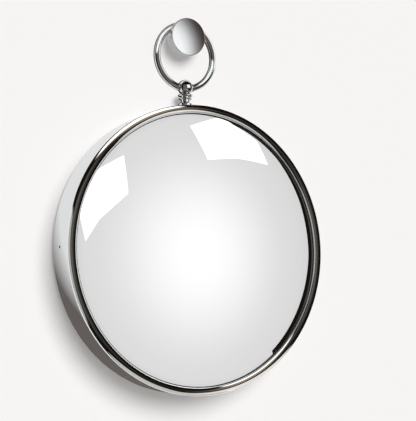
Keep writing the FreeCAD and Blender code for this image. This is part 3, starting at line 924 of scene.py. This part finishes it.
class MIRROR_OT_make_back(bpy.types.Operator):
    """Back: the round cover with its countersinks, and the rubber bumpers"""

    bl_idname = "mirror.make_back"
    bl_label = "Make back"

    def execute(self, context):
        case, screws = context.scene.mirror_case, context.scene.mirror_screws
        reach = HOLE_REACH * screws.cover_head
        profile = outline(
            (0, COVER_FACE),
            pairs(np.linspace(COVER_SCREW_R - reach, COVER_SCREW_R + reach, HOLE_STEPS), COVER_FACE),
            (COVER_R, COVER_FACE),
            (COVER_R, COVER_INSIDE),
            (0, COVER_INSIDE),
        )
        places = half_step_turn(screws.cover_count)

        def sink(radius, height, angle):
            off = apart(angle, places)
            distance = np.hypot(radius * np.cos(off) - COVER_SCREW_R, radius * np.sin(off))
            hole = countersink(distance, screws.cover_head, screws.cover_shank, screws.hole_fit)
            return radius, np.where(height < COVER_FACE + TOUCH, height + hole, height)

        angles = crowded(GLASS_STEPS, places, reach, COVER_SCREW_R)
        shell = lathe(CASE_AXIS, profile, 2 * case.soft_edge, angles, sink, poles=True)
        add_piece("cover", shell, "mirror", "cover_board", "back_cover")

        pad = outline(
            (0, BUMPER_FACE + screws.dish_depth),
            (screws.dish_radius, BUMPER_FACE + screws.dish_depth),
            (screws.dish_rim, BUMPER_FACE),
            (screws.bumper_radius - screws.bumper_draft, BUMPER_FACE),
            (screws.bumper_radius, BUMPER_BASE),
            (0, BUMPER_BASE),
        )
        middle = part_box("wall_bumpers")[1].x - screws.bumper_radius
        ring_r = middle / math.cos(math.pi / screws.bumper_count)
        pads = []
        for angle in half_step_turn(screws.bumper_count):
            axis = Axis(on_case(ring_r, angle, 0), (0, -1, 0), (1, 0, 0))
            pads.append(lathe(axis, pad, screws.bumper_round, full_turn(SCREW_STEPS), poles=True))
        add_piece("bumpers", joined(pads), "mirror", "black_rubber", "wall_bumpers")
        return {"FINISHED"}


class MIRROR_OT_dress_hidden(bpy.types.Operator):
    """Finishes for the pieces inside the case that keep the frame's own shape"""

    bl_idname = "mirror.dress_hidden"
    bl_label = "Dress hidden pieces"

    def execute(self, context):
        slots = dict.fromkeys(("pendant_stud", "pendant_washer", "pendant_nut"), "zinc_steel")
        for node, slot in {"core_ring": "core_board", "glass_cushion": "grey_felt", **slots}.items():
            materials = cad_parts[node].data.materials
            materials.clear()
            materials.append(material_for(slot))
        return {"FINISHED"}


CARD_DISTANCE = 20.0
CARD_MIDDLE = (0, 0, -0.15)
STUDIO_DARK = "#15120F"
WALL_IN_POLISH = "#F4F3F2"
WALL_HALF = 2.5
WALL_Y = 0.2 * MM
GLOW_STEPS = 180
SHADE_STEPS = 96

# Sheets of light in the studio, each seen only in the polish of the pieces it is set for. Corners are directions:
# (degrees to the right of straight out from the wall, degrees up)
GLASS = ("glass",)
BEZEL = ("bezel_roll",)
RING = ("ring_bow",)
POST = ("ball", "neck", "foot")
CASE = ("band", "side_screws")
HEAD = ("head",)
METAL = (*CASE, "stem", *BEZEL, *RING, *POST, *HEAD)
CARDS = (
    Card("front window", "#FFFFFF", 1.2, 0.03, GLASS, (
        (5.8, 28.8), (5.4, 18), (-3.8, 10.7), (-7.8, 4.7), (-11.4, 20.5),
    )),
    Card("side window", "#FFFFFF", 1.2, 0.03, GLASS, (
        (33, 35.6), (34.7, 26.2), (45.7, 25.6), (57.3, 22.8), (56.9, 28.4), (46.5, 36.3),
    )),
    Card("overhead", "#FFFFFF", 2.2, 0.1, BEZEL, (
        (-180, 60), (-120, 59), (-75, 56), (-45, 55), (-15, 54), (15, 53),
        (34, 52), (45, 58), (65, 66), (100, 70), (130, 66), (150, 58),
    )),
    Card("brown wedge", "#C2AE96", 0.75, 0.25, BEZEL, (
        (-60, 57), (-15, 56), (34, 54), (31, 30), (29, 8), (8, 30), (-24, 45),
    )),
    Card("pale low side", "#F4EEEA", 1.1, 0.1, BEZEL, (
        (34, -10), (60, -18), (90, -22), (126, -18), (146, -16), (146, -44), (110, -46), (60, -46), (34, -46),
    )),
    Card("floor", "#FFFBF2", 0.66, 0.1, METAL, (
        (22, -40), (60, -46), (110, -44), (150, -48), (-170, -58), (-110, -62), (-60, -62), (-25, -58), (0, -50),
    )),
    Card("left grey", "#FFFDF8", 0.52, 0.12, BEZEL, ((-64, 18), (-119, 22), (-119, -40), (-64, -36))),
    Card("pale wall", "#FFFFFF", 1.0, 0.06, BEZEL, (
        (-120, 22), (-150, 18), (180, 14), (158, 0), (145, -20), (150, -48), (-175, -54), (-150, -52), (-124, -36),
    )),
    Card("dark front", "#35322E", 1.0, 0.15, BEZEL, (
        (-60, -24), (20, -20), (29, 0), (4, 30), (-24, 44), (-60, 30),
    )),
    Card("grey front", "#59544F", 1.0, 0.6, BEZEL, ((-54, -24), (-8, -22), (-8, 28), (-30, 38), (-54, 28))),
    Card("grey room", "#6A6660", 1.0, 0.25, RING, ((-40, -30), (26, -30), (27, 20), (-40, 24))),
    Card("brown room", "#6F645D", 1.0, 0.25, POST, ((-60, -40), (26, -40), (27, 30), (-60, 30))),
    Card("ring top light", "#FFFFFF", 1.15, 0.1, RING, ((29, 15), (-10, 13), (-55, 12), (-60, 58), (12, 60))),
    Card("ring side light", "#FFFFFF", 1.0, 0.1, RING, ((36, 6), (70, 3), (100, 3), (100, 36), (60, 36))),
    Card("ring floor", "#5B4438", 1.0, 0.2, RING, ((38, -8), (90, -8), (90, -34), (45, -34))),
    Card("post window", "#FFFFFF", 1.2, 0.08, POST, ((2, -6), (52, -6), (52, 32), (2, 32))),
    Card("knob shade", "#33231F", 1.0, 0.4, HEAD, ((24, 2), (44, 2), (44, 26), (24, 26))),
    Card("room before the case", "#B4B2B0", 0.8, 0.3, CASE, (
        (-72, -30), (-36, -34), (0, -36), (36, -34), (72, -30), (72, 40), (36, 46), (0, 48), (-36, 46), (-72, 40),
    )),
    Card("room at the left", "#B4B2B0", 1.0, 0.25, HEAD, (
        (-38, -45), (-80, -50), (-120, 0), (-80, 50), (-38, 45),
    )),
    Card("room at the right", "#8A827C", 1.0, 0.25, HEAD, (
        (66, -45), (100, -50), (140, 0), (100, 50), (66, 45),
    )),
)
# Round glows: levels at angles in degrees from their middle, and (turn round the middle, angle) limits that cut them
GLOWS = (
    Glow("glass glow", GLASS, (26.4, 1.6), (
        (0, 1.1), (6, 1.06), (10, 1.03), (14, 0.985), (18, 0.93), (24, 0.84), (30, 0.775), (38, 0.735),
        (48, 0.7), (53, 0.15), (64, 0.15), (76, 0.5), (130, 0.5),
    ), (
        (0, 130), (60, 100), (90, 48), (102.2, 43.6), (122.2, 39.1), (145.1, 41.2), (161.3, 41.7), (178.6, 41.5),
        (189.4, 40.6), (200.2, 39.5), (216.2, 37.9), (217.0, 45.5), (250, 48), (290, 100), (360, 130),
    )),
    Glow("knob glow", HEAD, (10, 3.2), (
        (0, 1.2), (15.4, 1.17), (17.2, 1.06), (19.6, 0.87), (22, 0.61), (24.5, 0.33), (27, 0.14), (29, 0.05), (33, 0),
    ), ((0, 90), (360, 90))),
)
# The wall as the polish sees it: each group of pieces has its own, with the round patch of shade that lies by them
WALLS = (
    Wall("wall by the case", CASE, MIRROR_Z - 0.25 * BEZEL_R, 1.053 * BEZEL_R, 0.06, "#6B6562"),
    Wall("wall by the pendant", POST, BALL_Z, 3.0 * BALL_R, 0.3, "#2A2522"),
    Wall("wall by the glass", GLASS, MIRROR_Z, BEZEL_R, 0.3, "#8A8785"),
    Wall("wall by the knob", ("stem", *HEAD), 0.0, 2.4 * HEAD_R, 0.3, "#BDBBB9"),
    Wall("wall by the ring", RING, 0.0, 3.4 * HEAD_R, 0.3, "#453730"),
)


def heading(azimuth, elevation):
    """Direction at an angle to the right of straight out from the wall, and an angle up, in radians."""
    flat = math.cos(elevation)
    return np.array([math.sin(azimuth) * flat, -math.cos(azimuth) * flat, math.sin(elevation)])


def gathered(name, pieces):
    """A collection of pieces, for a light to take or leave."""
    made = bpy.data.collections.new(name)
    for piece in pieces:
        made.objects.link(bpy.data.objects[piece])
    return made


def add_sheet(name, grid, colours, pieces):
    """A sheet of light that shows only in the polish of these pieces: a grid of points in rings from its middle
    outwards, with a colour for each ring."""
    rings, columns = grid.shape[:2]
    index = np.arange(rings * columns).reshape(rings, columns)
    faces = quads_of(np.hstack([index, index[:, :1]])).reshape(-1, 4)
    material, tree = new_material(name)
    material.cycles.emission_sampling = "NONE"
    stored_glow = add_node(tree, "ShaderNodeAttribute", attribute_name="glow").outputs["Color"]
    glow = add_node(tree, "ShaderNodeEmission", {"Color": stored_glow})
    clear = add_node(tree, "ShaderNodeBsdfTransparent")
    both = add_node(tree, "ShaderNodeAddShader", {0: glow.outputs[0], 1: clear.outputs[0]})
    add_node(tree, "ShaderNodeOutputMaterial", {"Surface": both.outputs[0]})
    sheet = add_mesh(name, grid.reshape(-1, 3).tolist(), faces.tolist(), material)
    stored = sheet.data.attributes.new("glow", "FLOAT_COLOR", "POINT")
    stored.data.foreach_set("color", np.repeat([rgba(value) for value in colours], columns, axis=0).ravel())
    sheet.visible_camera = sheet.visible_shadow = sheet.visible_diffuse = False
    sheet.light_linking.receiver_collection = gathered(name + " receivers", pieces)


def far_out(directions):
    """Points a long way off in the given directions."""
    unit = directions / np.linalg.norm(directions, axis=2, keepdims=True)
    return np.array(CARD_MIDDLE) + CARD_DISTANCE * unit


def add_card(card):
    """A card with straight edges: full inside, fading out across its edge."""
    corners = np.array([heading(*np.radians(corner)) for corner in card.corners])
    middle = corners.mean(axis=0)
    shares = np.array([0, 1 - card.softness, 1 + card.softness])[:, None, None]
    colours = np.outer((card.strength, card.strength, 0), to_linear(card.tint))
    add_sheet(card.name, far_out(middle + shares * (corners - middle)), colours, card.pieces)


def add_glow(glow):
    """A round glow: each ring lies at its own angle from the middle, or at the limit where that is less."""
    middle = heading(*np.radians(glow.middle))
    right = np.cross(middle, (0, 0, 1))
    right /= np.linalg.norm(right)
    up = np.cross(right, middle)
    turned = full_turn(GLOW_STEPS)
    around = np.cos(turned)[:, None] * right + np.sin(turned)[:, None] * up
    angles, levels = np.array(glow.levels).T
    limits = np.interp(np.degrees(turned), *np.array(glow.limits).T)
    angles = np.radians(np.minimum(angles[:, None], limits))[:, :, None]
    grid = far_out(np.cos(angles) * middle + np.sin(angles) * around)
    add_sheet(glow.name, grid, np.outer(levels, (1, 1, 1)), glow.pieces)


def add_wall_in_polish(wall, layer):
    """The wall for the polish of some pieces: a patch of shade, fading out across its edge, and the wall round it.
    Each lies in a layer of its own, because sheets in one plane hide each other."""
    turned = full_turn(SHADE_STEPS)
    ring = np.stack([np.cos(turned), np.zeros(SHADE_STEPS), np.sin(turned)], axis=1)
    shares = np.array([0, 1 - wall.softness, 1 + wall.softness, WALL_HALF / wall.radius])
    grid = np.array([0, (1 + layer) * WALL_Y, wall.height]) + shares[:, None, None] * wall.radius * ring
    shade, bare = to_linear(wall.shade), to_linear(WALL_IN_POLISH)
    add_sheet(wall.name, grid, [shade, shade, bare, bare], wall.pieces)


def make_world(scene):
    """Pale behind the object, even ambient light on it, and a dark room in its reflections."""
    world = scene.world = bpy.data.worlds.new("studio")
    world.use_nodes = True
    world.cycles.sampling_method = "NONE"
    tree = world.node_tree
    tree.nodes.clear()
    seen = add_node(tree, "ShaderNodeLightPath").outputs
    kinds = {0: seen["Is Glossy Ray"], 1: seen["Is Transmission Ray"]}
    mirrored = add_node(tree, "ShaderNodeMath", kinds, operation="MAXIMUM").outputs[0]

    def background(value, strength=1.0):
        inputs = {"Color": rgba(value), "Strength": strength}
        return add_node(tree, "ShaderNodeBackground", inputs).outputs[0]

    def either(share, off, on):
        return add_node(tree, "ShaderNodeMixShader", {0: share, 1: off, 2: on}).outputs[0]

    even = background((1, 1, 1), scene.mirror_stage.ambient)
    lit = either(mirrored, even, background(to_linear(STUDIO_DARK)))
    shown = either(seen["Is Camera Ray"], lit, background(scene.mirror_finish.wall))
    add_node(tree, "ShaderNodeOutputWorld", {"Surface": shown})


def make_wall(finish):
    """A matt painted wall, seen and felt from the room side only."""
    material, tree = new_material("matt wall paint")
    side = add_node(tree, "ShaderNodeNewGeometry").outputs["Backfacing"]
    paint = add_node(tree, "ShaderNodeBsdfDiffuse", {"Color": rgba(finish.wall)})
    clear = add_node(tree, "ShaderNodeBsdfTransparent")
    one_sided = add_node(tree, "ShaderNodeMixShader", {0: side, 1: paint.outputs[0], 2: clear.outputs[0]})
    add_node(tree, "ShaderNodeOutputMaterial", {"Surface": one_sided.outputs[0]})
    corners = [(WALL_HALF * x, WALL_Y, WALL_HALF * z) for x, z in ((-1, -1), (1, -1), (1, 1), (-1, 1))]
    wall = add_mesh("wall", corners, [(0, 1, 2, 3)], material)
    wall.visible_glossy = False


def add_sun(name, source, strength, angle=0.0, shadow=True):
    """A distant lamp that shines from a direction, and doesn't show in the polish."""
    light = bpy.data.lights.new(name, "SUN")
    light.energy = strength
    light.angle = angle
    light.use_shadow = shadow
    holder = add_object(name, light)
    holder.rotation_mode = "QUATERNION"
    holder.rotation_quaternion = Vector(source).to_track_quat("Z", "Y")
    holder.visible_glossy = False
    return holder


class MIRROR_OT_make_stage(bpy.types.Operator):
    """Stage: wall, studio light and camera"""

    bl_idname = "mirror.make_stage"
    bl_label = "Make stage"

    def execute(self, context):
        scene = context.scene
        stage = scene.mirror_stage
        make_world(scene)
        make_wall(scene.mirror_finish)
        for card in CARDS:
            add_card(card)
        for glow in GLOWS:
            add_glow(glow)
        for layer, wall in enumerate(WALLS):
            add_wall_in_polish(wall, layer)
        key = add_sun("key light", heading(stage.key_azimuth, stage.key_elevation), stage.key, stage.key_softness)
        passed = gathered("passed by the key light", (*RING, "ball"))
        for member in passed.collection_objects:
            member.light_linking.link_state = "EXCLUDE"
        key.light_linking.blocker_collection = passed
        add_sun("fill light", (0, -1, 0), stage.fill, shadow=False)
        add_sun("rear light", (0, 1, 0), stage.key, shadow=False)

        camera = scene.camera = add_object("camera", bpy.data.cameras.new("camera"))
        camera.data.lens = stage.lens / MM
        back = heading(stage.camera_azimuth, stage.camera_elevation)
        roll_depth = BEZEL_FRONT - scene.mirror_case.roll_radius
        camera.location = np.array([0, -roll_depth, MIRROR_Z]) + stage.camera_distance * back
        camera.rotation_mode = "QUATERNION"
        look = -heading(stage.look_azimuth, stage.look_elevation)
        level = Vector(look).to_track_quat("-Z", "Y")
        camera.rotation_quaternion = level @ Quaternion((0, 0, 1), stage.camera_roll)
        scene.view_settings.view_transform = "Standard"
        return {"FINISHED"}


SETTINGS = {
    "mirror_case": CaseSettings,
    "mirror_pendant": PendantSettings,
    "mirror_knob": KnobSettings,
    "mirror_screws": ScrewSettings,
    "mirror_finish": FinishSettings,
    "mirror_stage": StageSettings,
}
OPERATORS = (
    MIRROR_OT_make_band,
    MIRROR_OT_make_bezel,
    MIRROR_OT_make_glass,
    MIRROR_OT_make_gasket,
    MIRROR_OT_make_pendant,
    MIRROR_OT_make_ring,
    MIRROR_OT_make_knob,
    MIRROR_OT_make_screws,
    MIRROR_OT_make_back,
    MIRROR_OT_dress_hidden,
    MIRROR_OT_make_stage,
)


class MIRROR_PT_build(bpy.types.Panel):
    """Lists the steps of the build in order"""

    bl_label = "Convex mirror"
    bl_idname = "MIRROR_PT_build"
    bl_space_type = "VIEW_3D"
    bl_region_type = "UI"
    bl_category = "Mirror"

    def draw(self, context):
        for operator in OPERATORS:
            self.layout.operator(operator.bl_idname)


def register():
    for settings in SETTINGS.values():
        bpy.utils.register_class(settings)
    for name, settings in SETTINGS.items():
        setattr(bpy.types.Scene, name, bpy.props.PointerProperty(type=settings))
    for operator in OPERATORS:
        bpy.utils.register_class(operator)
    bpy.utils.register_class(MIRROR_PT_build)


def unregister():
    bpy.utils.unregister_class(MIRROR_PT_build)
    for operator in reversed(OPERATORS):
        bpy.utils.unregister_class(operator)
    for name, settings in SETTINGS.items():
        delattr(bpy.types.Scene, name)
        bpy.utils.unregister_class(settings)


def main():
    register()
    bpy.ops.mirror.make_band()
    bpy.ops.mirror.make_bezel()
    bpy.ops.mirror.make_glass()
    bpy.ops.mirror.make_gasket()
    bpy.ops.mirror.make_pendant()
    bpy.ops.mirror.make_ring()
    bpy.ops.mirror.make_knob()
    bpy.ops.mirror.make_screws()
    bpy.ops.mirror.make_back()
    bpy.ops.mirror.dress_hidden()
    bpy.ops.mirror.make_stage()


if __name__ == "__main__":
    main()
